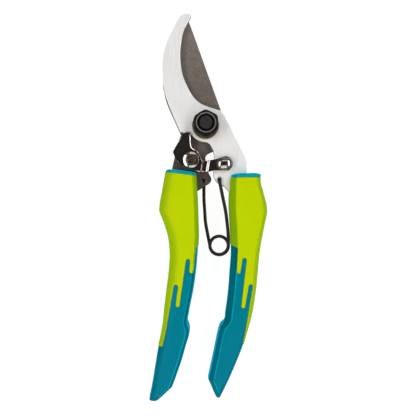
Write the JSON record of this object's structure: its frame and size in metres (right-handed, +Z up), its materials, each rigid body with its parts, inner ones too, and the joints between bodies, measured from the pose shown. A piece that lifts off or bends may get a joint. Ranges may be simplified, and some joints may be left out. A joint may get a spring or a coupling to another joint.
{
  "type": "pruning shears",
  "caption": "Bypass pruning shears with a hook blade, a coated cutting blade, a pivot nut, a thumb latch, a wire torsion spring and two-tone soft grips.",
  "frame": {"origin": "under the middle of the shears' bounding box, on the surface that they lie on, with the blades closed and latched", "axes": "+Y along the tool towards the blade tips, +X to the right seen from the nut's side, +Z up out of the nut's side"},
  "size_m": [0.0622, 0.2056, 0.0206],
  "materials": {
    "hook_steel": "satin",
    "coated_steel": "satin low-friction coating",
    "black_oxide": "satin black oxide",
    "yellow_zinc": "yellow zinc plate",
    "gunmetal": "polished dark",
    "spring_steel": "satin black",
    "teal_plastic": "satin moulded",
    "lime_grip": "soft-touch matt"
  },
  "bodies": {
    "hook_half": {"hook_blade": "hook_steel", "pivot_bolt": "black_oxide", "bolt_washer": "yellow_zinc", "lock_washer": "yellow_zinc", "pivot_nut": "black_oxide", "right_handle_core": "teal_plastic", "right_handle_grip": "lime_grip"},
    "blade_half": {"cutting_blade": "coated_steel", "latch_rivet": "gunmetal", "latch_washer": "yellow_zinc", "left_handle_core": "teal_plastic", "left_handle_grip": "lime_grip"},
    "latch": {"latch_lever": "gunmetal"},
    "spring_right": {"spring_coil": "spring_steel"},
    "spring_left": {"spring_leg": "spring_steel"}
  },
  "joints": [
    {"name": "blade_pivot", "type": "hinge", "parent": "hook_half", "child": "blade_half", "pos_m": [-0.00085, 0.04415, 0.009], "axis": [0, 0, -1], "range_deg": [0, 32]},
    {"name": "latch_turn", "type": "hinge", "parent": "blade_half", "child": "latch", "pos_m": [-0.0088, 0.02545, 0.0115], "axis": [0, 0, 1], "range_deg": [0, 30]},
    {"name": "spring_swing", "type": "hinge", "parent": "hook_half", "child": "spring_right", "pos_m": [0.0062, 0.01535, 0.012], "axis": [0, 0, -1], "range_deg": [0, 31]},
    {"name": "spring_spread", "type": "hinge", "parent": "spring_right", "child": "spring_left", "pos_m": [0.00599, -0.01995, 0.009], "axis": [0, 0, 1], "range_deg": [0, 28]}
  ],
  "couplings": [
    {"joint": "spring_swing", "follows": "blade_pivot", "ratio": 0.928},
    {"joint": "spring_spread", "follows": "blade_pivot", "ratio": 0.826}
  ]
}
